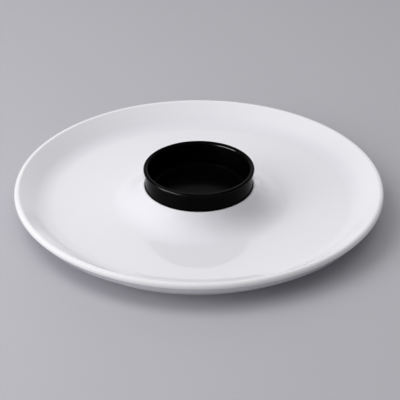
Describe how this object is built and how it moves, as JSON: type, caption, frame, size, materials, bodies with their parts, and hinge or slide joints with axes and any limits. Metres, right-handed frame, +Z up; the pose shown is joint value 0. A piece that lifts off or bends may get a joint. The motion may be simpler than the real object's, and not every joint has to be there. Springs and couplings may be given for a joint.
{
  "type": "chip and dip server",
  "caption": "Round white platter with a raised centre hub whose seat holds a small black lift-out dip bowl.",
  "frame": {"origin": "on the table, at the centre of the platter's foot ring", "axes": "+Z up along the platter's and the bowl's common axis of revolution"},
  "size_m": [0.32, 0.32, 0.0425],
  "materials": {
    "white_porcelain": "clear gloss glaze",
    "black_stoneware": "satin gloss black glaze"
  },
  "bodies": {
    "platter": {"platter": "white_porcelain"},
    "dip_bowl": {"dip_bowl": "black_stoneware"}
  },
  "joints": [
    {"name": "bowl_lift", "type": "slide", "parent": "platter", "child": "dip_bowl", "axis": [0, 0, 1], "range_m": [0, 0.06]}
  ]
}
